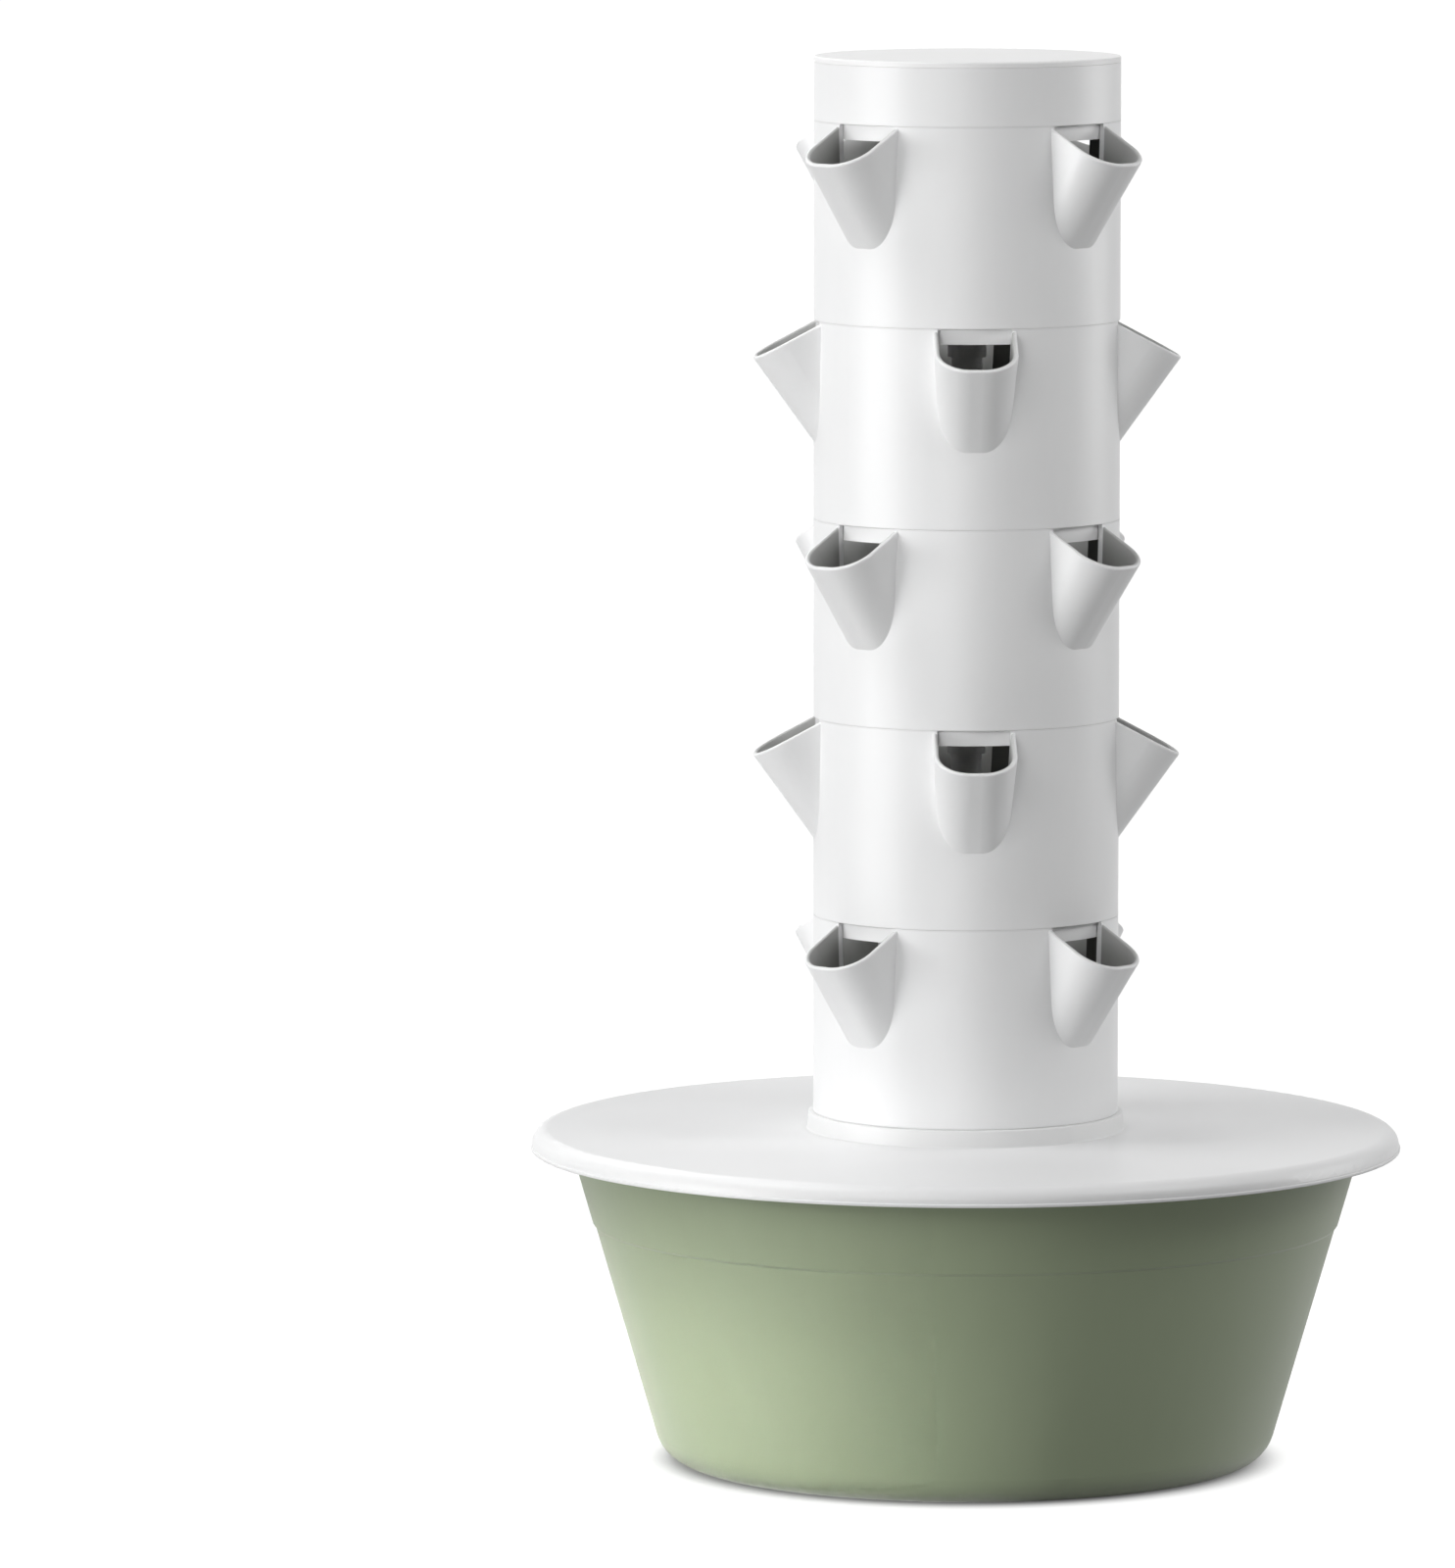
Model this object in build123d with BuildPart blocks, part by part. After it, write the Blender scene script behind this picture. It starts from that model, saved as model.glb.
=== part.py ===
"""Hydroponic tower: a tub with a lid, a column of planting tiers and a pump that feeds it from the top."""

import math
import os

from build123d import *

# Sizes in millimetres and degrees, with +Z up and the floor at z = 0

# Column of tiers
column_diameter = 200.0
column_wall = 3.0
tier_height = 130.0
tier_count = 5
spigot_length = 10.0
spigot_wall = 3.0
spigot_gap = 0.5
seat_thickness = 3.0
seam_bevel = 0.4

# Planting pockets
pocket_count = 4
pocket_width = 48.0
pocket_wall = 3.2
pocket_corner = 23.0
pocket_reach = 40.0
pocket_lean = 32.4
pocket_taper = 3.5
mouth_slope = 28.0
mouth_drop = 3.0
lip_round = 1.4
pocket_run_in = 12.0
cut_margin = 20.0

# Top of the column
header_height = 38.0
cover_thickness = 4.0
cover_skirt_depth = 10.0
cover_edge_round = 1.2
tray_thickness = 2.5
tray_rim_height = 12.0
tray_rim_wall = 2.0
tray_gap = 0.4
drip_hole_diameter = 4.0
drip_ring_pitch = 22.0
drip_ring_count = 3
drip_holes_per_ring = 12

# Riser pipe
riser_diameter = 20.0
riser_wall = 2.0
coupler_wall = 2.5
coupler_length = 36.0
coupler_stop = 2.0
push_fit_gap = 0.05
dome_wall = 5.7
dome_gap = 0.3
dome_flange_width = 6.0
dome_flange_thickness = 2.5
dome_roof = 4.0
dome_round = 3.0
riser_above_tray = 12.0
spray_slot_width = 5.0
spray_slot_height = 7.0
spray_slot_count = 6
spray_slot_lift = 1.5

# Tub
basin_height = 216.0
basin_base_diameter = 396.0
basin_draft = 16.2
basin_wall = 3.0
basin_corner_round = 24.0
foot_ring_width = 18.0
foot_recess = 2.0
ledge_height = 156.0
ledge_depth = 1.2
ledge_rise = 1.6
flange_width = 16.0
flange_thickness = 3.0
flange_lip_depth = 6.0
flange_corner_round = 4.0
edge_round = 0.8

# Lid
lid_plate = 3.0
lid_gap = 3.7
lid_skirt_depth = 13.0
lid_skirt_wall = 3.0
lid_shoulder_round = 10.0
lid_bead_height = 2.2
lid_bead_depth = 0.8
lid_bead_round = 0.6
locator_depth = 10.0
locator_wall = 3.0
locator_gap = 0.8
collar_flare = 4.0
collar_draft = 0.8
collar_round = 1.2
drain_gap = 1.5
hub_height = 10.0
hub_wall = 4.0
hub_gap = 0.5
drain_hole_diameter = 14.0
drain_circle_radius = 58.0
drain_count = 8
rib_depth = 8.0
rib_thickness = 3.0

# Filler in the lid, behind the column
filler_inset = 100.0
filler_diameter = 60.0
filler_rim_wall = 4.0
filler_rim_height = 4.0
seal_thickness = 1.5
seal_width = 3.0
flap_thickness = 3.0
flap_overhang = 3.0
flap_plug_depth = 6.0
flap_plug_wall = 2.0
flap_plug_gap = 1.2
flap_tab_width = 18.0
flap_tab_length = 7.0
knuckle_diameter = 9.0
knuckle_length = 24.0
knuckle_gap = 1.0
hinge_pin_diameter = 3.0
hinge_pin_gap = 0.08
hinge_ear_thickness = 5.0
hinge_side_gap = 0.5

# Cable way through the lid
grommet_inset = 71.0
grommet_angle = 73.0
grommet_bore = 7.0
grommet_neck = 16.0
grommet_flange_width = 3.0
grommet_flange_thickness = 2.5

# Pump on the floor of the tub
cup_height = 6.0
cup_diameter = 20.0
cup_top_diameter = 9.0
cup_wall = 1.6
cup_stem_diameter = 5.0
cup_stem_length = 4.0
cup_inset = 9.0
pump_width = 50.0
pump_height = 52.0
pump_corner_round = 6.0
pump_edge_round = 3.0
volute_length = 32.0
volute_wall = 4.0
housing_length = 50.0
strainer_length = 26.0
strainer_wall = 2.0
rotor_height = 24.0
rotor_offset = 6.0
chamber_diameter = 34.0
impeller_diameter = 30.0
impeller_plate = 2.0
blade_length = 12.0
blade_thickness = 2.0
blade_count = 6
impeller_stem_diameter = 8.0
magnet_diameter = 20.4
magnet_length = 33.0
rotor_bore_gap = 0.8
shaft_diameter = 4.0
bush_diameter = 8.0
bush_length = 3.0
bush_holder_wall = 1.5
running_gap = 0.05
axial_gap = 0.5
inlet_hole_diameter = 5.0
inlet_circle_radius = 9.0
inlet_count = 6
outlet_bore = 12.0
outlet_length = 20.0
strainer_slot_width = 3.0
strainer_slot_pitch = 6.0
strainer_slot_count = 3
strainer_slot_length = 30.0
dial_diameter = 30.0
dial_thickness = 4.0
dial_stub_diameter = 6.0
dial_head_diameter = 9.0
dial_head_thickness = 1.5
dial_port_diameter = 7.0
dial_port_radius = 9.0
dial_port_count = 3
dial_grip_width = 5.0
dial_grip_height = 5.0
gland_diameter = 10.0
gland_bore = 6.0
gland_depth = 6.0
gland_flange_width = 2.5
gland_flange_thickness = 3.0
gland_drop = 10.0

# Column radii that mating pieces share
column_radius = column_diameter / 2
bore_radius = column_radius - column_wall
spigot_radius = bore_radius - spigot_gap
spigot_inner_radius = spigot_radius - spigot_wall
riser_radius = riser_diameter / 2
riser_inner_radius = riser_radius - riser_wall
coupler_radius = riser_radius + push_fit_gap + coupler_wall

# Heights that mating pieces share
floor_top = foot_recess + basin_wall
lid_top = basin_height + lid_plate
column_base = lid_top + spigot_length + drain_gap
header_base = column_base + tier_count * tier_height
cover_base = header_base + header_height
tray_base = header_base + seat_thickness
tray_top = tray_base + tray_thickness
riser_top = tray_top + riser_above_tray
pump_base = floor_top + cup_height
pump_top = pump_base + pump_height
rotor_z = pump_base + rotor_height
first_joint = lid_top + hub_height / 2

os.makedirs("parts", exist_ok=True)


def save(builder, name):
    """Labels a finished piece and writes it."""
    builder.part.label = name
    export_step(builder.part, f"parts/{name}.step")


# Tub: one revolved wall with a foot ring, a rounded corner, a ledge and a flange for the lid
def basin_radius(height):
    """Outside radius of the tub's wall at a height, with the ledge's step above it."""
    step = ledge_depth if height > ledge_height else 0.0
    return basin_base_diameter / 2 + height * math.tan(math.radians(basin_draft)) + step


wall_run = basin_wall / math.cos(math.radians(basin_draft))
flange_radius = basin_radius(basin_height) + flange_width
flange_under = basin_height - flange_thickness
foot_radius = basin_base_diameter / 2 - basin_corner_round * math.tan(math.radians(45 - basin_draft / 2))
ledge_top = ledge_height + ledge_rise

basin_outline = [
    ((0, foot_recess), 0),
    ((foot_radius - foot_ring_width, foot_recess), edge_round),
    ((foot_radius - foot_ring_width, 0), edge_round),
    ((basin_base_diameter / 2, 0), basin_corner_round),
    ((basin_radius(ledge_height), ledge_height), edge_round),
    ((basin_radius(ledge_top), ledge_top), edge_round),
    ((basin_radius(flange_under), flange_under), edge_round),
    ((flange_radius - basin_wall, flange_under), edge_round),
    ((flange_radius - basin_wall, basin_height - flange_lip_depth), edge_round),
    ((flange_radius, basin_height - flange_lip_depth), edge_round),
    ((flange_radius, basin_height), flange_corner_round),
    ((basin_radius(basin_height) - wall_run, basin_height), edge_round),
    ((basin_radius(ledge_top) - wall_run, ledge_top), edge_round),
    ((basin_radius(ledge_height) - wall_run, ledge_height), edge_round),
    ((basin_radius(floor_top) - wall_run, floor_top), basin_corner_round - basin_wall),
    ((0, floor_top), 0),
]

with BuildPart() as basin:
    with BuildSketch(Plane.XZ):
        with BuildLine():
            FilletPolyline(
                *[point for point, _ in basin_outline],
                radius=[corner for _, corner in basin_outline],
                close=True,
            )
        make_face()
    revolve(axis=Axis.Z)
save(basin, "reservoir_basin")

# Lid: a plate with a skirt over the tub's flange, a collar for the column, a hub for the riser and drains
skirt_inner = flange_radius + lid_gap
lid_radius = skirt_inner + lid_skirt_wall
skirt_bottom = lid_top - lid_skirt_depth
hub_bore_radius = coupler_radius + hub_gap
hub_radius = hub_bore_radius + hub_wall
hub_top = lid_top + hub_height
collar_radius = column_radius + collar_flare
locator_radius = basin_radius(basin_height - locator_depth) - wall_run - locator_gap
filler_offset = lid_radius - filler_inset
filler_radius = filler_diameter / 2
filler_rim_radius = filler_radius + filler_rim_wall
filler_rim_top = lid_top + filler_rim_height
flap_base = filler_rim_top + seal_thickness
flap_radius = filler_rim_radius + flap_overhang
hinge_y = filler_offset - flap_radius - knuckle_diameter / 2 - knuckle_gap
hinge_z = flap_base + flap_thickness / 2
ear_inner = knuckle_length / 2 + hinge_side_gap
grommet_offset = lid_radius - grommet_inset
grommet_place = (
    grommet_offset * math.cos(math.radians(grommet_angle)),
    grommet_offset * math.sin(math.radians(grommet_angle)),
)

lid_outline = [
    ((hub_bore_radius, basin_height), 0),
    ((hub_bore_radius, hub_top), edge_round),
    ((hub_radius, hub_top), edge_round),
    ((hub_radius, lid_top), edge_round),
    ((bore_radius, lid_top), edge_round),
    ((bore_radius, column_base), 0),
    ((collar_radius - collar_draft, column_base), collar_round),
    ((collar_radius, lid_top), edge_round),
    ((lid_radius, lid_top), lid_shoulder_round),
    ((lid_radius, skirt_bottom + lid_bead_height), 0),
    ((lid_radius + lid_bead_depth, skirt_bottom + lid_bead_height), lid_bead_round),
    ((lid_radius + lid_bead_depth, skirt_bottom), lid_bead_round),
    ((skirt_inner, skirt_bottom), edge_round),
    ((skirt_inner, basin_height), lid_shoulder_round - lid_skirt_wall),
    ((locator_radius, basin_height), 0),
    ((locator_radius, basin_height - locator_depth), edge_round),
    ((locator_radius - locator_wall, basin_height - locator_depth), edge_round),
    ((locator_radius - locator_wall, basin_height), edge_round),
]

with BuildPart() as lid:
    with BuildSketch(Plane.XZ):
        with BuildLine():
            FilletPolyline(
                *[point for point, _ in lid_outline],
                radius=[corner for _, corner in lid_outline],
                close=True,
            )
        make_face()
    revolve(axis=Axis.Z)
    # Stiffening ribs below the plate, between the drains
    rib_run = locator_radius - locator_wall / 2 - hub_radius
    with BuildSketch(Plane.XY.offset(basin_height)):
        with PolarLocations(hub_radius + rib_run / 2, drain_count, start_angle=180 / drain_count):
            Rectangle(rib_run, rib_thickness)
    extrude(amount=-rib_depth)
    # Drains back into the tub
    with BuildSketch(Plane.XY.offset(basin_height)):
        with PolarLocations(drain_circle_radius, drain_count):
            Circle(drain_hole_diameter / 2)
    extrude(amount=lid_plate, mode=Mode.SUBTRACT)
    # Filler rim and hole
    with BuildSketch(Plane.XY.offset(basin_height)):
        with Locations((0, filler_offset)):
            Circle(filler_rim_radius)
    extrude(amount=lid_plate + filler_rim_height)
    with BuildSketch(Plane.XY.offset(basin_height)):
        with Locations((0, filler_offset)):
            Circle(filler_radius)
    extrude(amount=lid_plate + filler_rim_height, mode=Mode.SUBTRACT)
    # Ears that carry the flap's pin
    for ear_start in (ear_inner, -ear_inner - hinge_ear_thickness):
        with BuildSketch(Plane.YZ.offset(ear_start)):
            with Locations((hinge_y, hinge_z)):
                Circle(knuckle_diameter / 2)
            with Locations((hinge_y, (lid_top + hinge_z) / 2)):
                Rectangle(knuckle_diameter, hinge_z - lid_top)
            with Locations((hinge_y, hinge_z)):
                Circle(hinge_pin_diameter / 2 + running_gap, mode=Mode.SUBTRACT)
        extrude(amount=hinge_ear_thickness)
    # Hole for the cable grommet
    with BuildSketch(Plane.XY.offset(basin_height)):
        with Locations(grommet_place):
            Circle(grommet_neck / 2 + running_gap)
    extrude(amount=lid_plate, mode=Mode.SUBTRACT)
save(lid, "reservoir_lid")

# Filler flap: a disc with a plug ring below, a knuckle on the column's side and a finger tab
with BuildPart() as flap:
    with BuildSketch(Plane.XY.offset(flap_base)):
        with Locations((0, filler_offset)):
            Circle(flap_radius)
        with Locations((0, filler_offset + flap_radius)):
            Rectangle(flap_tab_width, 2 * flap_tab_length)
        with Locations((0, (hinge_y + filler_offset) / 2)):
            Rectangle(knuckle_length, filler_offset - hinge_y)
    extrude(amount=flap_thickness)
    with BuildSketch(Plane.XY.offset(flap_base)):
        with Locations((0, filler_offset)):
            Circle(filler_radius - flap_plug_gap)
            Circle(filler_radius - flap_plug_gap - flap_plug_wall, mode=Mode.SUBTRACT)
    extrude(amount=-flap_plug_depth)
    with BuildSketch(Plane.YZ.offset(-knuckle_length / 2)):
        with Locations((hinge_y, hinge_z)):
            Circle(knuckle_diameter / 2)
    extrude(amount=knuckle_length)
    with BuildSketch(Plane.YZ.offset(-knuckle_length / 2)):
        with Locations((hinge_y, hinge_z)):
            Circle(hinge_pin_diameter / 2 + hinge_pin_gap)
    extrude(amount=knuckle_length, mode=Mode.SUBTRACT)
save(flap, "filler_flap")

with BuildPart() as hinge_pin:
    pin_half = ear_inner + hinge_ear_thickness
    with BuildSketch(Plane.YZ.offset(-pin_half)):
        with Locations((hinge_y, hinge_z)):
            Circle(hinge_pin_diameter / 2)
    extrude(amount=2 * pin_half)
save(hinge_pin, "filler_hinge_pin")

with BuildPart() as seal:
    with BuildSketch(Plane.XY.offset(filler_rim_top)):
        with Locations((0, filler_offset)):
            Circle((filler_radius + filler_rim_radius + seal_width) / 2)
            Circle((filler_radius + filler_rim_radius - seal_width) / 2, mode=Mode.SUBTRACT)
    extrude(amount=seal_thickness)
save(seal, "filler_seal")

# Cable grommet: two flanges with a neck between them, gripping the lid's plate
with BuildPart() as grommet:
    grommet_bottom = basin_height - grommet_flange_thickness
    with BuildSketch(Plane.XY.offset(grommet_bottom)):
        with Locations(grommet_place):
            Circle(grommet_neck / 2 + grommet_flange_width)
    extrude(amount=grommet_flange_thickness)
    with BuildSketch(Plane.XY.offset(basin_height)):
        with Locations(grommet_place):
            Circle(grommet_neck / 2)
    extrude(amount=lid_plate)
    with BuildSketch(Plane.XY.offset(lid_top)):
        with Locations(grommet_place):
            Circle(grommet_neck / 2 + grommet_flange_width)
    extrude(amount=grommet_flange_thickness)
    fillet(grommet.edges().filter_by(GeomType.CIRCLE).sort_by(Axis.Z)[-1:], edge_round)
    with BuildSketch(Plane.XY.offset(grommet_bottom)):
        with Locations(grommet_place):
            Circle(grommet_bore / 2)
    extrude(amount=lid_plate + 2 * grommet_flange_thickness, mode=Mode.SUBTRACT)
save(grommet, "cable_grommet")


# Column rings: a plain wall with a bevelled seam, and a spigot that drops into the ring below
def ring_outline(base, height):
    """Section of a column ring that stands on the seam at the height base."""
    return [
        (spigot_inner_radius, base - spigot_length),
        (spigot_radius, base - spigot_length),
        (spigot_radius, base),
        (column_radius - seam_bevel, base),
        (column_radius, base + seam_bevel),
        (column_radius, base + height),
        (bore_radius, base + height),
        (bore_radius, base + seat_thickness),
        (spigot_inner_radius, base + seat_thickness),
    ]


# Planting tiers, numbered from the top, every second one turned by half a pocket's step
scoop_radius = pocket_width / 2 + pocket_wall
tip_radius = column_radius + pocket_reach
tip_height = tier_height - mouth_drop - pocket_reach * math.tan(math.radians(mouth_slope))
lean = math.radians(pocket_lean)
scoop_run = math.sin(lean) + math.tan(math.radians(pocket_taper)) * math.cos(lean)
scoop_length = (pocket_reach + column_wall + pocket_run_in) / scoop_run
scoop_back = (pocket_reach + pocket_run_in) / math.cos(lean)


def tip_plane(pocket, slope):
    """Plane through the tip of a pocket's lip, falling outwards by a slope, with its normal into the pocket."""
    angle = math.radians(pocket * 360 / pocket_count)
    tilt = math.radians(slope)
    outward = Vector(math.cos(angle), math.sin(angle), 0)
    tip = outward * tip_radius + Vector(0, 0, tip_height)
    inward = outward * -math.sin(tilt) - Vector(0, 0, math.cos(tilt))
    return Plane(origin=tip, x_dir=Vector(-outward.Y, outward.X, 0), z_dir=inward)


def pocket_section(half_width, corner):
    """Draws a pocket's section: a front with rounded corners and straight sides back to the column."""
    with Locations((0, -scoop_radius)):
        RectangleRounded(2 * half_width, 2 * half_width, corner)
        Rectangle(2 * half_width, scoop_back, align=(Align.CENTER, Align.MAX))


def mouth_height(point):
    """Height of a point above the nearest pocket's mouth, square to it."""
    step = 2 * math.pi / pocket_count
    angle = math.atan2(point.Y, point.X)
    nearest = round(angle / step) % pocket_count
    return -tip_plane(nearest, mouth_slope).to_local_coords(point).Z


def is_lip(edge):
    """True for an edge that runs round a pocket's mouth, clear of the column's wall."""
    middle = edge.position_at(0.5)
    height = mouth_height(middle)
    return math.hypot(middle.X, middle.Y) > column_radius + lip_round and abs(height) < lip_round / 100


with BuildPart() as tier_pattern:
    # Scoops outside the wall, trimmed at their mouths and clear of the column's hollow
    for pocket in range(pocket_count):
        with BuildSketch(tip_plane(pocket, pocket_lean)):
            pocket_section(scoop_radius, pocket_corner)
        extrude(amount=scoop_length, taper=pocket_taper)
    for pocket in range(pocket_count):
        with BuildSketch(tip_plane(pocket, mouth_slope)):
            Rectangle(2 * scoop_radius + cut_margin, 2 * scoop_back + cut_margin)
        extrude(amount=-scoop_radius, mode=Mode.SUBTRACT)
    with BuildSketch(Plane.XY):
        Circle(bore_radius)
    extrude(amount=tier_height + scoop_radius, mode=Mode.SUBTRACT)
    with BuildSketch(Plane.XY.offset(tier_height)):
        Circle(column_radius)
    extrude(amount=scoop_radius, mode=Mode.SUBTRACT)
    # Wall, seat and spigot
    with BuildSketch(Plane.XZ):
        with BuildLine():
            Polyline(*ring_outline(0, tier_height), close=True)
        make_face()
    revolve(axis=Axis.Z)
    # Hollow of each pocket, open into the column
    for pocket in range(pocket_count):
        with BuildSketch(tip_plane(pocket, pocket_lean)):
            pocket_section(pocket_width / 2, pocket_corner - pocket_wall)
        extrude(amount=scoop_length, taper=pocket_taper, mode=Mode.SUBTRACT)
    fillet(tier_pattern.edges().filter_by(is_lip), lip_round)

for number in range(1, tier_count + 1):
    tier_base = column_base + (tier_count - number) * tier_height
    tier_turn = number * 180 / pocket_count
    with BuildPart() as tier:
        with Locations(Location((0, 0, tier_base), (0, 0, tier_turn))):
            add(tier_pattern.part)
    save(tier, f"tier_{number}")

# Header ring: a plain ring above the top tier, whose seat carries the drip tray
with BuildPart() as header_ring:
    with BuildSketch(Plane.XZ):
        with BuildLine():
            Polyline(*ring_outline(header_base, header_height), close=True)
        make_face()
    revolve(axis=Axis.Z)
save(header_ring, "header_ring")

# Top cover: a disc with a skirt inside the header ring
with BuildPart() as top_cover:
    with BuildSketch(Plane.XY.offset(cover_base)):
        Circle(column_radius)
    extrude(amount=cover_thickness)
    fillet(top_cover.edges().group_by(Axis.Z)[-1], cover_edge_round)
    chamfer(top_cover.edges().group_by(Axis.Z)[0], seam_bevel)
    with BuildSketch(Plane.XY.offset(cover_base)):
        Circle(spigot_radius)
        Circle(spigot_inner_radius, mode=Mode.SUBTRACT)
    extrude(amount=-cover_skirt_depth)
save(top_cover, "top_cover")

# Drip tray: a perforated dish on the header ring's seat
tray_radius = bore_radius - tray_gap
dome_bore_radius = riser_radius + dome_gap
with BuildPart() as drip_tray:
    with BuildSketch(Plane.XY.offset(tray_base)):
        Circle(tray_radius)
        Circle(dome_bore_radius, mode=Mode.SUBTRACT)
        for ring in range(drip_ring_count):
            ring_radius = tray_radius - tray_rim_wall - (ring + 0.5) * drip_ring_pitch
            with PolarLocations(ring_radius, drip_holes_per_ring, start_angle=ring * 180 / drip_holes_per_ring):
                Circle(drip_hole_diameter / 2, mode=Mode.SUBTRACT)
    extrude(amount=tray_thickness)
    with BuildSketch(Plane.XY.offset(tray_base)):
        Circle(tray_radius)
        Circle(tray_radius - tray_rim_wall, mode=Mode.SUBTRACT)
    extrude(amount=tray_rim_height)
save(drip_tray, "drip_tray")

# Spray dome: a cap over the riser's end, slotted above it
dome_radius = dome_bore_radius + dome_wall
slot_bottom = riser_top + spray_slot_lift
dome_ceiling = slot_bottom + spray_slot_height
dome_top = dome_ceiling + dome_roof
with BuildPart() as spray_dome:
    with BuildSketch(Plane.XY.offset(tray_top)):
        Circle(dome_radius)
    extrude(amount=dome_top - tray_top)
    fillet(spray_dome.edges().group_by(Axis.Z)[-1], dome_round)
    with BuildSketch(Plane.XY.offset(tray_top)):
        Circle(dome_radius + dome_flange_width)
    extrude(amount=dome_flange_thickness)
    with BuildSketch(Plane.XY.offset(tray_top)):
        Circle(dome_bore_radius)
    extrude(amount=dome_ceiling - tray_top, mode=Mode.SUBTRACT)
    with BuildSketch(Plane.XY.offset(slot_bottom)):
        with PolarLocations(dome_radius, spray_slot_count):
            Rectangle(2 * dome_radius, spray_slot_width)
    extrude(amount=spray_slot_height, mode=Mode.SUBTRACT)
save(spray_dome, "spray_dome")


# Riser: pipes that meet in couplers, from the pump's outlet to the dome
def make_pipe(bottom, top):
    """A length of riser pipe between two heights."""
    with BuildPart() as pipe:
        with BuildSketch(Plane.XY.offset(bottom)):
            Circle(riser_radius)
            Circle(riser_inner_radius, mode=Mode.SUBTRACT)
        extrude(amount=top - bottom)
    return pipe


joint_heights = [first_joint + level * tier_height for level in range(tier_count)]
pipe_starts = [height + coupler_stop / 2 for height in joint_heights]
pipe_ends = [height - coupler_stop / 2 for height in joint_heights[1:]] + [riser_top]
save(make_pipe(pump_top, first_joint - coupler_stop / 2), "riser_foot_pipe")
for level in range(tier_count):
    save(make_pipe(pipe_starts[level], pipe_ends[level]), f"riser_pipe_{level + 1}")

with BuildPart() as couplers:
    for height in joint_heights:
        with BuildSketch(Plane.XY.offset(height - coupler_length / 2)):
            Circle(coupler_radius)
            Circle(riser_radius + push_fit_gap, mode=Mode.SUBTRACT)
        extrude(amount=coupler_length)
        with BuildSketch(Plane.XY.offset(height - coupler_stop / 2)):
            Circle(riser_radius + coupler_wall / 2)
            Circle(riser_inner_radius, mode=Mode.SUBTRACT)
        extrude(amount=coupler_stop)
save(couplers, "riser_couplers")

# Pump: strainer, volute and motor housing in a row along X, with the outlet below the riser
volute_front = -volute_length / 2
volute_back = volute_length / 2
housing_back = volute_back + housing_length
strainer_front = volute_front - strainer_length
pump_middle = pump_base + pump_height / 2
rotor_place = (-rotor_offset, rotor_z)
chamber_front = volute_front + volute_wall
stem_front = chamber_front + bush_length + axial_gap
plate_front = stem_front + blade_length
magnet_front = plate_front + impeller_plate
magnet_back = magnet_front + magnet_length
rear_bush_front = magnet_back + axial_gap
shaft_back = rear_bush_front + bush_length
bush_seat_radius = bush_diameter / 2 + running_gap
cup_columns = (volute_front + cup_inset, housing_back - cup_inset)
cup_rows = (-pump_width / 2 + cup_inset, pump_width / 2 - cup_inset)
cup_places = [(x, y) for x in cup_columns for y in cup_rows]
gland_place = (0, pump_top - gland_drop)

with BuildPart() as volute:
    with BuildSketch(Plane.YZ.offset(volute_front)):
        with Locations((0, pump_middle)):
            RectangleRounded(pump_width, pump_height, pump_corner_round)
    extrude(amount=volute_length)
    with BuildSketch(Plane.XY.offset(pump_top)):
        Circle(riser_inner_radius - push_fit_gap)
    extrude(amount=outlet_length)
    with BuildSketch(Plane.YZ.offset(chamber_front)):
        with Locations(rotor_place):
            Circle(chamber_diameter / 2)
            Circle(bush_seat_radius + bush_holder_wall, mode=Mode.SUBTRACT)
    extrude(amount=bush_length, mode=Mode.SUBTRACT)
    with BuildSketch(Plane.YZ.offset(chamber_front + bush_length)):
        with Locations(rotor_place):
            Circle(chamber_diameter / 2)
    extrude(amount=volute_back - chamber_front - bush_length, mode=Mode.SUBTRACT)
    with BuildSketch(Plane.YZ.offset(chamber_front)):
        with Locations(rotor_place):
            Circle(bush_seat_radius)
    extrude(amount=bush_length, mode=Mode.SUBTRACT)
    with BuildSketch(Plane.XY.offset(rotor_z)):
        Circle(outlet_bore / 2)
    extrude(amount=pump_top + outlet_length - rotor_z, mode=Mode.SUBTRACT)
    with BuildSketch(Plane.YZ.offset(volute_front)):
        with Locations(rotor_place):
            with PolarLocations(inlet_circle_radius, inlet_count):
                Circle(inlet_hole_diameter / 2)
    extrude(amount=volute_wall, mode=Mode.SUBTRACT)
    with BuildSketch(Plane.XY.offset(pump_base)):
        with Locations(cup_places[:2]):
            Circle(cup_stem_diameter / 2 + running_gap)
    extrude(amount=cup_stem_length, mode=Mode.SUBTRACT)
save(volute, "pump_volute")

with BuildPart() as housing:
    with BuildSketch(Plane.YZ.offset(volute_back)):
        with Locations((0, pump_middle)):
            RectangleRounded(pump_width, pump_height, pump_corner_round)
    extrude(amount=housing_length)
    fillet(housing.edges().group_by(Axis.X)[-1], pump_edge_round)
    with BuildSketch(Plane.YZ.offset(volute_back)):
        with Locations(rotor_place):
            Circle(magnet_diameter / 2 + rotor_bore_gap)
    extrude(amount=rear_bush_front - volute_back, mode=Mode.SUBTRACT)
    with BuildSketch(Plane.YZ.offset(rear_bush_front)):
        with Locations(rotor_place):
            Circle(bush_seat_radius)
    extrude(amount=bush_length, mode=Mode.SUBTRACT)
    with BuildSketch(Plane.YZ.offset(housing_back)):
        with Locations(gland_place):
            Circle(gland_diameter / 2 + running_gap)
    extrude(amount=-gland_depth, mode=Mode.SUBTRACT)
    with BuildSketch(Plane.XY.offset(pump_base)):
        with Locations(cup_places[2:]):
            Circle(cup_stem_diameter / 2 + running_gap)
    extrude(amount=cup_stem_length, mode=Mode.SUBTRACT)
save(housing, "pump_housing")

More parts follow.
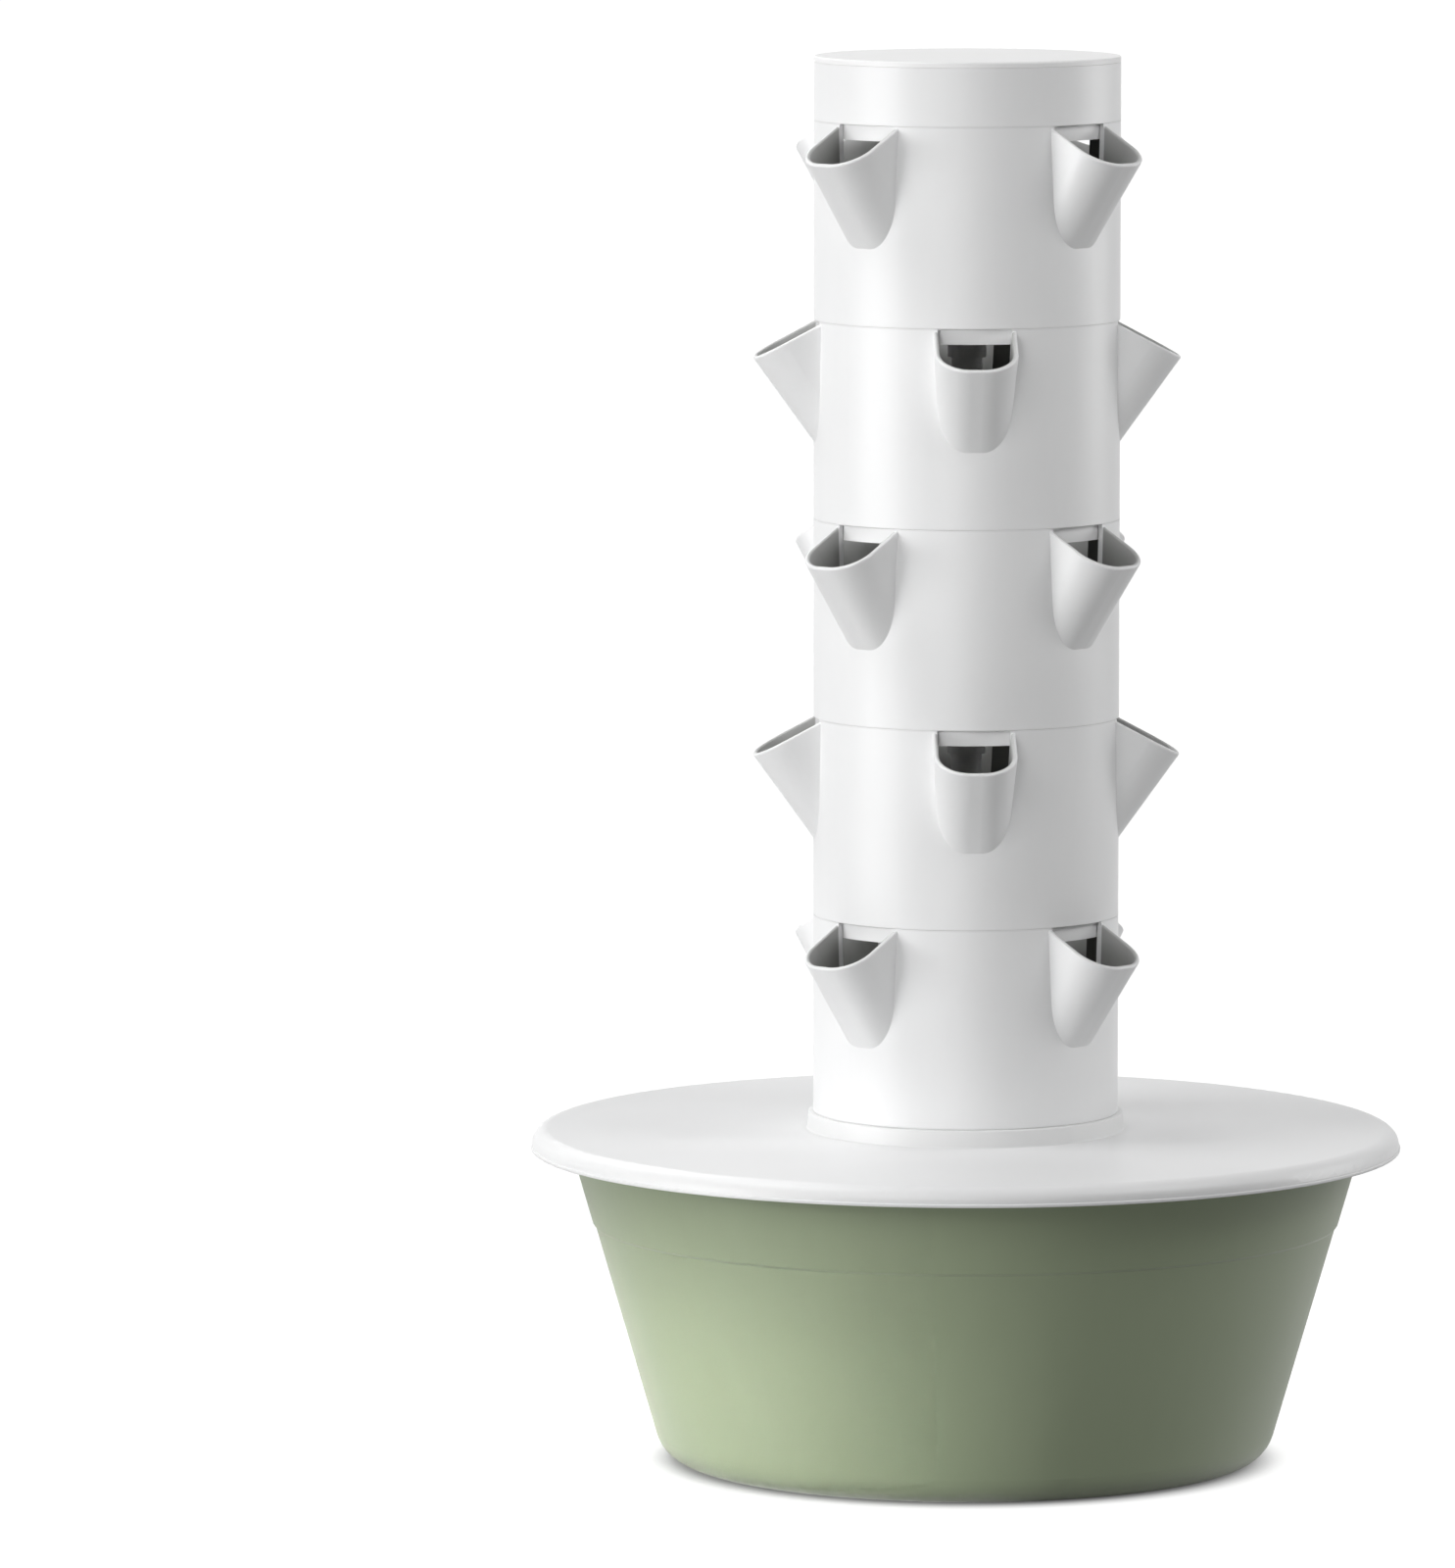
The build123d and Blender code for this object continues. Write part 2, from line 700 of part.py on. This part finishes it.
with BuildPart() as impeller:
    blade_run = (impeller_diameter - impeller_stem_diameter) / 2
    with BuildSketch(Plane.YZ.offset(stem_front)):
        with Locations(rotor_place):
            with PolarLocations(impeller_stem_diameter / 2 + blade_run / 2, blade_count):
                Rectangle(blade_run + blade_thickness / 2, blade_thickness)
            Circle(impeller_stem_diameter / 2)
    extrude(amount=blade_length)
    with BuildSketch(Plane.YZ.offset(plate_front)):
        with Locations(rotor_place):
            Circle(impeller_diameter / 2)
    extrude(amount=impeller_plate)
    with BuildSketch(Plane.YZ.offset(magnet_front)):
        with Locations(rotor_place):
            Circle(impeller_stem_diameter / 2)
    extrude(amount=magnet_length)
    with BuildSketch(Plane.YZ.offset(stem_front)):
        with Locations(rotor_place):
            Circle(shaft_diameter / 2 + running_gap)
    extrude(amount=magnet_back - stem_front, mode=Mode.SUBTRACT)
save(impeller, "pump_impeller")

with BuildPart() as magnet:
    with BuildSketch(Plane.YZ.offset(magnet_front)):
        with Locations(rotor_place):
            Circle(magnet_diameter / 2)
            Circle(impeller_stem_diameter / 2 + running_gap, mode=Mode.SUBTRACT)
    extrude(amount=magnet_length)
save(magnet, "pump_magnet")

with BuildPart() as shaft:
    with BuildSketch(Plane.YZ.offset(chamber_front)):
        with Locations(rotor_place):
            Circle(shaft_diameter / 2)
    extrude(amount=shaft_back - chamber_front)
save(shaft, "pump_shaft")

with BuildPart() as bushes:
    for bush_front in (chamber_front, rear_bush_front):
        with BuildSketch(Plane.YZ.offset(bush_front)):
            with Locations(rotor_place):
                Circle(bush_diameter / 2)
                Circle(shaft_diameter / 2 + running_gap, mode=Mode.SUBTRACT)
        extrude(amount=bush_length)
save(bushes, "pump_bushes")

# Strainer: a slotted box on the volute's face, with ports behind the flow dial
dial_place = (0, pump_middle)
with BuildPart() as strainer:
    with BuildSketch(Plane.YZ.offset(strainer_front)):
        with Locations(dial_place):
            RectangleRounded(pump_width, pump_height, pump_corner_round)
    extrude(amount=strainer_length)
    with BuildSketch(Plane.YZ.offset(strainer_front + strainer_wall)):
        with Locations(dial_place):
            RectangleRounded(
                pump_width - 2 * strainer_wall,
                pump_height - 2 * strainer_wall,
                pump_corner_round - strainer_wall,
            )
    extrude(amount=strainer_length - strainer_wall, mode=Mode.SUBTRACT)
    with BuildSketch(Plane.XZ):
        with Locations(((strainer_front + volute_front) / 2, pump_middle)):
            with GridLocations(strainer_slot_pitch, pump_height, strainer_slot_count, 1):
                SlotOverall(strainer_slot_length, strainer_slot_width, rotation=90)
    extrude(amount=pump_width, both=True, mode=Mode.SUBTRACT)
    with BuildSketch(Plane.YZ.offset(strainer_front)):
        with Locations(dial_place):
            Circle(dial_stub_diameter / 2 + running_gap)
            with PolarLocations(dial_port_radius, dial_port_count):
                Circle(dial_port_diameter / 2)
    extrude(amount=strainer_wall, mode=Mode.SUBTRACT)
save(strainer, "pump_strainer")

with BuildPart() as dial:
    dial_front = strainer_front - dial_thickness
    with BuildSketch(Plane.YZ.offset(dial_front)):
        with Locations(dial_place):
            Circle(dial_diameter / 2)
            with PolarLocations(dial_port_radius, dial_port_count):
                Circle(dial_port_diameter / 2, mode=Mode.SUBTRACT)
    extrude(amount=dial_thickness)
    with BuildSketch(Plane.YZ.offset(dial_front)):
        with Locations(dial_place):
            Rectangle(dial_grip_width, dial_diameter - 2 * dial_grip_width)
    extrude(amount=-dial_grip_height)
    with BuildSketch(Plane.YZ.offset(strainer_front)):
        with Locations(dial_place):
            Circle(dial_stub_diameter / 2)
    extrude(amount=strainer_wall + axial_gap)
    with BuildSketch(Plane.YZ.offset(strainer_front + strainer_wall + axial_gap)):
        with Locations(dial_place):
            Circle(dial_head_diameter / 2)
    extrude(amount=dial_head_thickness)
save(dial, "pump_flow_dial")

# Suction cups: a hollow cone on the tub's floor with a stem into the pump
cup_outline = [
    (0, cup_height + cup_stem_length),
    (cup_stem_diameter / 2, cup_height + cup_stem_length),
    (cup_stem_diameter / 2, cup_height),
    (cup_top_diameter / 2, cup_height),
    (cup_diameter / 2, 0),
    (cup_diameter / 2 - cup_wall, 0),
    (0, cup_height - cup_wall),
]
with BuildPart() as cups:
    for cup_x, cup_y in cup_places:
        with BuildSketch(Plane(origin=(cup_x, cup_y, floor_top), x_dir=(1, 0, 0), z_dir=(0, -1, 0))):
            with BuildLine():
                Polyline(*cup_outline, close=True)
            make_face()
        revolve(axis=Axis((cup_x, cup_y, 0), (0, 0, 1)))
save(cups, "pump_suction_cups")

with BuildPart() as gland:
    with BuildSketch(Plane.YZ.offset(housing_back)):
        with Locations(gland_place):
            Circle(gland_diameter / 2 + gland_flange_width)
    extrude(amount=gland_flange_thickness)
    with BuildSketch(Plane.YZ.offset(housing_back)):
        with Locations(gland_place):
            Circle(gland_diameter / 2)
    extrude(amount=-gland_depth)
    with BuildSketch(Plane.YZ.offset(housing_back - gland_depth)):
        with Locations(gland_place):
            Circle(gland_bore / 2)
    extrude(amount=gland_depth + gland_flange_thickness, mode=Mode.SUBTRACT)
save(gland, "pump_cable_gland")
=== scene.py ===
# %% [markdown]
# # Dressing a hydroponic tower
# The tower is a column of white plastic tiers with scooped planting pockets. It stands on the lid of a
# sage green water tub, and a pump in the tub lifts the water to the top of the column. The solids come
# from the CAD model. This lesson gives each of them the finish of the real plastic, rubber or metal, and
# lights them as in the photograph. The CAD nodes stay where they are, because every piece is in one frame.

# %% Load the CAD model as a fixed frame
import math

import bpy
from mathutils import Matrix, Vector


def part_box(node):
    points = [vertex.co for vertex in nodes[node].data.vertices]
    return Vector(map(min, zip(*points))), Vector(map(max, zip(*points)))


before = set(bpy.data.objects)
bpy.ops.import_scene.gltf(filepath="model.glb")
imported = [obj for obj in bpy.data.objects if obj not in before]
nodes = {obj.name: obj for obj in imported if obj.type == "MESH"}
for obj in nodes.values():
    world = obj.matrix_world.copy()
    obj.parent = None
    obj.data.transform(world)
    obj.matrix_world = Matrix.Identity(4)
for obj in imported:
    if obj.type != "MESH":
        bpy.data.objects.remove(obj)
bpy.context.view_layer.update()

# %% [markdown]
# ## A small language for shader nodes
# Materials are easier to read as sums than as a list of nodes and links. This class wraps one socket, so
# `1 - mask` or `0.3 + grain * 0.1` adds the Math nodes by itself. Every other kind of node comes from
# `node`, which sets the node up first and then fills its sockets with numbers or with other wires.

# %% The wire class
def feed(node, sockets):
    """Sets a node's sockets to numbers, or links wires to them."""
    for name, value in sockets.items():
        if isinstance(value, Wire):
            node.id_data.links.new(value.socket, node.inputs[name])
        else:
            node.inputs[name].default_value = value


class Wire:
    """One output socket in a material. Sums on it add Math nodes, and node() adds any other kind."""

    def __init__(self, tree, socket=None):
        self.tree = tree
        self.socket = socket

    def node(self, kind, settings=None, sockets=None, output=0):
        made = self.tree.nodes.new(kind)
        for name, value in (settings or {}).items():
            setattr(made, name, value)
        feed(made, sockets or {})
        return Wire(self.tree, made.outputs[output])

    def math(self, operation, *others):
        return self.node("ShaderNodeMath", {"operation": operation}, dict(enumerate((self, *others))))

    def __add__(self, other):
        return self.math("ADD", other)

    def __sub__(self, other):
        return self.math("SUBTRACT", other)

    def __rsub__(self, other):
        return self.node("ShaderNodeMath", {"operation": "SUBTRACT"}, {0: other, 1: self})

    def __mul__(self, other):
        return self.math("MULTIPLY", other)

    __radd__ = __add__
    __rmul__ = __mul__


# %% [markdown]
# ## Starting a finish
# A new material already holds a Principled shader, which serves plastic, rubber and metal alike. The CAD
# nodes come with a plain colour each. A finish takes its place in the node's only material slot.

# %% Start a finish, and dress nodes in it
def new_finish(name):
    """A new material, with its shader and a wire to start from."""
    material = bpy.data.materials.new(name)
    material.use_nodes = True
    shader = material.node_tree.nodes["Principled BSDF"]
    return material, shader, Wire(material.node_tree)


def dress(material, names):
    """Gives a material to CAD nodes, in place of their plain one."""
    for name in names:
        slots = nodes[name].data.materials
        slots.clear()
        slots.append(material)
    print(material.name, "on", len(names), "nodes")


# %% [markdown]
# ## Places on a piece
# Painted shade and tide marks sit at certain heights or distances from the column's axis. A picture
# wrapped round each piece could show them, but it would have to be drawn. Object coordinates give the same
# places in metres, and they travel with a piece, so the shade painted in a pocket stays there when a tier
# is turned.

# %% Places on a piece
def object_place(start):
    """The point on the piece, in metres."""
    return start.node("ShaderNodeTexCoord", output="Object")


def height_of(start, place):
    """The height of the point, in metres."""
    return start.node("ShaderNodeSeparateXYZ", None, {"Vector": place}, output="Z")


def vector_math(start, operation, first, second=(0, 0, 0), output=0):
    """One step of vector maths on places or directions."""
    return start.node("ShaderNodeVectorMath", {"operation": operation}, {0: first, 1: second}, output)


def off_axis(start, place):
    """The level arrow from the column's axis to the point."""
    return vector_math(start, "MULTIPLY", place, (1, 1, 0))


def from_axis(start, place):
    """The distance of the point from the column's axis, in metres."""
    return vector_math(start, "LENGTH", off_axis(start, place), output="Value")


# %% [markdown]
# ## Patterns
# Plastic is never quite even. Noise gives the drift of its colour, its scuffs and the grain of the mould,
# and a smooth step cuts a soft mask out of any height or distance. The mask then mixes two colours.

# %% Patterns
def grain(start, place, scale, detail=2.0, stretch=(1, 1, 1)):
    """Noise from 0 to 1 at so many features a metre, drawn out by a stretch."""
    moved = start.node("ShaderNodeMapping", None, {"Vector": place, "Scale": stretch})
    return start.node("ShaderNodeTexNoise", None, {"Vector": moved, "Scale": scale, "Detail": detail})


def fade(start, value, low, high):
    """A smooth rise from 0 to 1 as a value goes from low to high."""
    return start.node(
        "ShaderNodeMapRange",
        {"interpolation_type": "SMOOTHSTEP"},
        {"Value": value, "From Min": low, "From Max": high},
    )


def tint(start, mask, first, second):
    """A colour between two, each plain or from a wire, by a mask from 0 to 1."""
    first, second = [colour if isinstance(colour, Wire) else (*colour, 1) for colour in (first, second)]
    sockets = {"Factor": mask, 6: first, 7: second}
    return start.node("ShaderNodeMix", {"data_type": "RGBA"}, sockets, output=2)


def bump(start, height, strength, depth):
    """A fine relief from a height."""
    return start.node("ShaderNodeBump", None, {"Height": height, "Strength": strength, "Distance": depth})


# %% [markdown]
# ## White shell plastic
# The tiers, the lid and the cover are moulded in one satin white plastic. A single white would look like
# paper, so the colour drifts by a few percent over a hand's width, the polish changes a little with it,
# and a very fine spark-eroded grain breaks up the highlights, as on any moulding. A second, darker tint is
# mixed in by a mask, which each kind of piece brings with it; this tint is painted shade, and it also
# makes the plastic duller there.

# %% White shell plastic
def white_shell(name, dark, light, shade_of, shade_tint):
    """Satin white between two tints, with a painted shade tint where a mask that the piece brings says so.
    """
    material, shader, start = new_finish(name)
    place = object_place(start)
    drift = grain(start, place, scale=9.0, detail=3.0)
    scuff = grain(start, place, scale=130.0, detail=4.0, stretch=(1, 1, 0.25))
    texture = grain(start, place, scale=2200.0, detail=1.0)
    clean = tint(start, drift * 0.7 + scuff * 0.3, dark, light)
    # Painted shade: a darker, duller tint where the piece's mask says so.
    shaded = shade_of(start, place) * (0.7 + drift * 0.6)
    feed(
        shader,
        {
            "Base Color": tint(start, shaded, clean, shade_tint),
            "Roughness": 0.3 + scuff * 0.12 + drift * 0.06 + shaded * 0.2,
            "Normal": bump(start, texture, strength=0.06, depth=0.0002),
            "IOR": 1.49,
        },
    )
    return material


# %% [markdown]
# ### Tiers and header ring
# The inside of the column and of each pocket is painted darker and duller than the outside. This is
# painted shade for the dark hollows, and deeper in a pocket it is darker still. A face of the column is an
# inner one if it looks at the axis. A pocket is harder to tell, because its sides look sideways both
# inside and outside. So the point is first turned into the pocket's own axes, across it, in from its front
# and down its length, and then compared with the line that runs in the middle of the pocket's wall. A
# little grey also sits in the seams, partly dirt and partly painted shade.

# %% Where the pockets and the seams are
seam_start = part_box("tier_5")[1][2]
tier_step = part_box("tier_4")[1][2] - seam_start
pocket_lean = math.radians(32.4)
pocket_taper = math.tan(math.radians(3.5))
pocket_tip = Vector((0.140, 0.10573))
wall_middle = {"half": 0.0256, "front": 0.0016, "corner": 0.0214}
wall_blur = 0.0012
column_bore = (0.0975, 0.099)
column_skin = (0.1003, 0.1012)
print("seams every", round(tier_step, 4), "m, one at", round(seam_start, 4), "m")


# %% Masks of the painted shade inside
def looks_inwards(start, place):
    """1 on faces that look at the column's axis."""
    normal = start.node("ShaderNodeTexCoord", output="Normal")
    outward = vector_math(start, "NORMALIZE", off_axis(start, place))
    facing = vector_math(start, "DOT_PRODUCT", normal, outward, output="Value")
    return fade(start, 0 - facing, 0.3, 0.7)


def in_pocket(start, place):
    """1 deep in the hollow of a pocket, beyond the column's wall, and less near its mouth."""
    parts = start.node("ShaderNodeSeparateXYZ", None, {"Vector": place}).socket.node.outputs
    x, y, z = [Wire(start.tree, part) for part in parts]
    eighth = math.pi / 4
    turn = (y.math("ARCTAN2", x) + eighth / 2).math("FLOORED_MODULO", eighth) - eighth / 2
    reach = from_axis(start, place)
    out = reach * turn.math("COSINE") - pocket_tip.x
    across = (reach * turn.math("SINE")).math("ABSOLUTE")
    up = (z - seam_start).math("FLOORED_MODULO", tier_step) - pocket_tip.y
    down = out * -math.sin(pocket_lean) - up * math.cos(pocket_lean)
    inward = up * math.sin(pocket_lean) - out * math.cos(pocket_lean)
    shrink = down.math("MAXIMUM", 0.0) * pocket_taper
    corner = wall_middle["corner"] - shrink
    aside = (across - (wall_middle["half"] - shrink) + corner).math("MAXIMUM", 0.0)
    ahead = (wall_middle["front"] + shrink + corner - inward).math("MAXIMUM", 0.0)
    past_wall = (aside * aside + ahead * ahead).math("SQRT") - corner
    inside = 1 - fade(start, past_wall, -wall_blur, wall_blur)
    # Painted shade grows darker deeper down the pocket.
    depth = 0.3 + 0.7 * fade(start, down, -0.02, 0.03)
    return inside * depth * fade(start, reach, *column_skin) * 0.85


def inside_painted_shade(start, place):
    """1 on the column's inner faces and deep in the pockets, where shade is painted, and a trace along the
    seams.
    """
    inner = looks_inwards(start, place) * (1 - fade(start, from_axis(start, place), *column_bore))
    to_seam = (height_of(start, place) - seam_start).math("PINGPONG", tier_step / 2)
    seam = 0.07 * (1 - fade(start, to_seam, 0.0002, 0.0015))
    return inner.math("MAXIMUM", in_pocket(start, place)).math("MAXIMUM", seam)


# %% Finish of the tiers
tier_names = [f"tier_{number}" for number in range(1, 6)]
# A grey painted as shade inside the column and the pockets, and in the seams.
inside_shade_grey = (0.16, 0.163, 0.15)
tier_white = white_shell("tier_white", (0.80, 0.805, 0.81), (0.86, 0.86, 0.86), inside_painted_shade, inside_shade_grey)
dress(tier_white, tier_names + ["header_ring"])

# %% [markdown]
# ### Lid, cover and tray
# The lid is a little greyer than the tiers, and the cover is a lighter white, which is a painted highlight
# for the light on its top. A darker ring at the foot of the column and a line along the rim's lower edge
# are painted shade, where the parts meet and under the rim.

# %% Finish of the lid and the covers
rim_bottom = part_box("reservoir_lid")[0][2]
collar_radius = 0.104
edge_shade_grey = (0.42, 0.42, 0.40)


def lid_painted_shade(start, place):
    """A faint darker ring at the column's foot and a line along the rim's lower edge, both painted shade.
    """
    foot = 1 - fade(start, from_axis(start, place), collar_radius, collar_radius + 0.006)
    edge = 1 - fade(start, height_of(start, place), rim_bottom, rim_bottom + 0.002)
    return (edge * 0.25).math("MAXIMUM", foot * 0.12)


lid_white = white_shell("lid_white", (0.78, 0.785, 0.79), (0.84, 0.84, 0.84), lid_painted_shade, edge_shade_grey)
# A lighter white than the lid: a painted highlight for the cover's lit top.
lit_cover_white = white_shell("lit_cover_white", (0.90, 0.90, 0.905), (0.94, 0.94, 0.94), lid_painted_shade, edge_shade_grey)
dress(lid_white, ["reservoir_lid", "filler_flap", "drip_tray", "spray_dome"])
dress(lit_cover_white, ["top_cover"])

# %% [markdown]
# ## Sage green tub plastic
# The tub is the same kind of moulding in a grey green. Such a deep tub shows faint upright flow marks from
# the mould, so one of its noises is drawn out along the height. Its foot is scuffed by the floor, and the
# water leaves a pale tide mark on the inside, a hand's width below the lid. Seen along its surface the
# plastic has a pale haze, which a gloss can't give, so the shader gets a little sheen.

# %% Sage green tub plastic
wall_foot = 0.198
wall_slope = math.tan(math.radians(16.2))
tide_height = 0.172
tide_width = 0.006
scuff_height = 0.012
pale_mark = (0.55, 0.56, 0.5)


def green_tub():
    """Sage green with flow marks, a scuffed foot and a tide mark on its inner wall."""
    material, shader, start = new_finish("tub_green")
    place = object_place(start)
    height = height_of(start, place)
    drift = grain(start, place, scale=7.0, detail=3.0)
    flow = grain(start, place, scale=60.0, detail=2.0, stretch=(1, 1, 0.08))
    texture = grain(start, place, scale=2000.0, detail=1.0)
    patches = fade(start, grain(start, place, scale=90.0, detail=3.0), 0.35, 0.7)
    scuff = (1 - fade(start, height, 0.001, scuff_height)) * patches
    inner = fade(start, wall_foot + height * wall_slope - from_axis(start, place), 0.0012, 0.0022)
    off_tide = (height + flow * tide_width - tide_height).math("ABSOLUTE")
    tide = inner * (1 - fade(start, off_tide, 0.001, tide_width))
    body = tint(start, drift * 0.6 + flow * 0.4, (0.242, 0.29, 0.18), (0.275, 0.325, 0.212))
    feed(
        shader,
        {
            "Base Color": tint(start, scuff * 0.3 + tide * 0.35, body, pale_mark),
            "Roughness": 0.42 + flow * 0.08 + drift * 0.06 + scuff * 0.15,
            "Normal": bump(start, texture, strength=0.06, depth=0.0002),
            "IOR": 1.49,
            "Sheen Weight": 0.35,
            "Sheen Roughness": 0.4,
        },
    )
    return material


dress(green_tub(), ["reservoir_basin"])

# %% [markdown]
# ## Pipe, pump and rubber
# What is inside the tower is seen only with the lid lifted. The riser is matte pressure pipe with faint
# draw lines, the pump is black plastic with a coarse grain, and the seals are dusty rubber. They differ in
# colour, gloss and grain alone, so one function makes them all. A stretch draws the grain out into lines.

# %% One function for the inner pieces
def plain_finish(name, dark, light, roughness, scale, stretch=(1, 1, 1), metallic=0.0):
    """A finish between two tints, with a grain that also changes its gloss."""
    material, shader, start = new_finish(name)
    place = object_place(start)
    drift = grain(start, place, scale / 8)
    texture = grain(start, place, scale, stretch=stretch)
    feed(
        shader,
        {
            "Base Color": tint(start, drift * 0.6 + texture * 0.4, dark, light),
            "Roughness": roughness + (texture - 0.5) * 0.2,
            "Normal": bump(start, texture, strength=0.12, depth=0.0003),
            "Metallic": metallic,
        },
    )
    return material


# %% Finishes of the inner pieces
along_pipe = (1, 1, 0.02)
along_pin = (0.03, 1, 1)
pipe_names = ["riser_foot_pipe", "riser_couplers"] + [f"riser_pipe_{number}" for number in range(1, 6)]
dress(
    plain_finish("riser_white", (0.80, 0.80, 0.80), (0.86, 0.86, 0.85), 0.5, 500.0, along_pipe),
    pipe_names,
)
dress(
    plain_finish("pump_black", (0.018, 0.018, 0.02), (0.04, 0.04, 0.043), 0.55, 900.0),
    ["pump_housing", "pump_volute", "pump_strainer"],
)
dress(
    plain_finish("dial_grey", (0.16, 0.17, 0.18), (0.23, 0.24, 0.25), 0.5, 900.0),
    ["pump_flow_dial", "pump_impeller"],
)
dress(
    plain_finish("rubber_black", (0.014, 0.014, 0.014), (0.04, 0.04, 0.038), 0.75, 1200.0),
    ["pump_bushes", "pump_suction_cups", "pump_cable_gland", "cable_grommet", "filler_seal"],
)
dress(
    plain_finish("pin_steel", (0.5, 0.5, 0.5), (0.66, 0.66, 0.66), 0.32, 1500.0, along_pin, metallic=1.0),
    ["filler_hinge_pin"],
)
dress(plain_finish("shaft_ceramic", (0.78, 0.77, 0.73), (0.86, 0.85, 0.81), 0.3, 800.0), ["pump_shaft"])
dress(plain_finish("ferrite", (0.045, 0.045, 0.047), (0.075, 0.073, 0.07), 0.6, 1000.0), ["pump_magnet"])

# %% [markdown]
# ## Floor
# The photograph has a plain white ground with only a tight shadow under the tub. The floor is a pale matte
# sheet. What the camera, glossy and clear rays see of it gets a glow, which grows with the distance from
# the tub, so that the ground is white where no shadow falls and the light that it throws back stays plain.
# Close to the tub's foot the glow is weak, and this paints part of that tight shadow.

# %% Floor
floor_size = 160.0
painted_foot_shadow = (0.18, 0.215)
ground_fade = (0.32, 1.4)

bpy.ops.object.select_all(action="DESELECT")
bpy.ops.mesh.primitive_plane_add(size=floor_size, location=(0, 0, 0))
floor = bpy.context.object
floor.name = "floor"
print("floor", floor_size, "m wide, with the shadow kept within", painted_foot_shadow[1], "m of the axis")


# %% Finish of the floor
def seen_directly(start):
    """1 for rays that show the background: from the camera, a reflection or through glass."""
    rays = start.node("ShaderNodeLightPath").socket.node.outputs
    camera_ray, glossy_ray, clear_ray = [
        Wire(start.tree, rays[f"Is {kind} Ray"]) for kind in ("Camera", "Glossy", "Transmission")
    ]
    return camera_ray.math("MAXIMUM", glossy_ray).math("MAXIMUM", clear_ray)


floor_pale, floor_shader, floor_start = new_finish("floor_pale")
floor_reach = from_axis(floor_start, object_place(floor_start))
# Painted shadow: the glow is weak close to the tub's foot.
past_painted_shadow = fade(floor_start, floor_reach, *painted_foot_shadow)
away = fade(floor_start, floor_reach, *ground_fade)
feed(
    floor_shader,
    {
        "Base Color": tint(floor_start, away, (0.3, 0.3, 0.3), (0.0, 0.0, 0.0)),
        "Roughness": 0.9,
        "Specular IOR Level": 0.0,
        "Emission Color": seen_directly(floor_start) * (0.1 + past_painted_shadow * 0.8 + away * 0.15),
        "Emission Strength": 1.0,
    },
)
floor.data.materials.append(floor_pale)

# %% [markdown]
# ## Light
# The white column shows how the tower was lit: bright on its left flank, darkest a little right of the
# middle and slightly lighter again at the right edge. So the key is one large soft lamp, low at the left.
# The lid hangs over the tub, and a narrow strip close to the floor brightens the tub's left below it. A
# high lamp in front lights what the key leaves dark, and a weak low one, like a white card on the floor,
# reaches the fronts of the pockets, which look down. The top lamp is for the lid and the cover, the fill
# and the edge lamp for the right side, and the back lamp for what the photograph doesn't show. A bright
# world would be simpler, but it would flatten the column, so the world adds only a trace of even light.

# %% A soft lamp
def soft_lamp(name, azimuth, height, distance, width, power, aim_height=0.45, spread=180, tall=None):
    """A soft lamp, square or as tall as said, placed round from the front and aimed at the axis."""
    angle = math.radians(azimuth)
    place = Vector((math.sin(angle) * distance, -math.cos(angle) * distance, height))
    aim = Vector((0, 0, aim_height)) - place
    bpy.ops.object.light_add(type="AREA", location=place, rotation=aim.to_track_quat("-Z", "Y").to_euler())
    lamp = bpy.context.object
    lamp.name = name
    lamp.data.shape = "RECTANGLE"
    lamp.data.size = width
    lamp.data.size_y = tall or width
    lamp.data.energy = power
    lamp.data.spread = math.radians(spread)
    lamp.visible_camera = False
    print(name, [round(v, 2) for v in place], power, "W")


# %% Lamps and surroundings
soft_lamp("key_lamp", azimuth=-70, height=0.55, distance=3.0, width=1.8, power=49, tall=1.0)
soft_lamp(
    "tub_lamp", azimuth=-74, height=0.03, distance=1.6, width=0.5, power=0.33,
    aim_height=0.06, spread=14, tall=0.05,
)
soft_lamp("front_lamp", azimuth=-22, height=1.8, distance=3.0, width=1.6, power=25)
soft_lamp(
    "card_lamp", azimuth=-14, height=0.12, distance=2.2, width=0.8, power=0.5,
    aim_height=0.6, spread=32,
)
soft_lamp("top_lamp", azimuth=-80, height=3.85, distance=2.0, width=1.6, power=53)
soft_lamp("fill_lamp", azimuth=60, height=2.2, distance=2.2, width=1.2, power=21)
soft_lamp("edge_lamp", azimuth=107, height=1.0, distance=2.6, width=1.4, power=20)
soft_lamp("back_lamp", azimuth=-150, height=2.2, distance=2.0, width=1.4, power=18)

even_light = 0.04
world = bpy.data.worlds.new("studio")
bpy.context.scene.world = world
world.use_nodes = True
direct = seen_directly(Wire(world.node_tree))
background = world.node_tree.nodes["Background"]
feed(background, {"Color": (1, 1, 1, 1), "Strength": direct + (1 - direct) * even_light})
print("even light", even_light)

# %% [markdown]
# ## Camera
# The column's rims look flatter at the top than at the lid, so the camera stood far off, a little above
# the tower. It is turned slightly so that the front pockets sit right of the column's axis, and it is
# aimed left of the tower, because the photograph leaves room there.

# %% Camera
scene = bpy.context.scene
scene.view_settings.view_transform = "Standard"
lens_length = 273.9
camera_distance = 7.77
camera_height = 1.2797
camera_azimuth = math.radians(-3.0)
aim_left = 0.1563
aim_height = 0.4453

front = Vector((math.sin(camera_azimuth), -math.cos(camera_azimuth), 0))
side = Vector((math.cos(camera_azimuth), math.sin(camera_azimuth), 0))
eye = front * camera_distance + Vector((0, 0, camera_height))
target = -side * aim_left + Vector((0, 0, aim_height))
bpy.ops.object.camera_add(location=eye, rotation=(target - eye).to_track_quat("-Z", "Y").to_euler())
camera = bpy.context.object
camera.data.sensor_width = 36.0
camera.data.lens = lens_length
camera.data.clip_end = 200.0
scene.camera = camera
print("camera", [round(v, 3) for v in eye], "aimed at", [round(v, 3) for v in target])
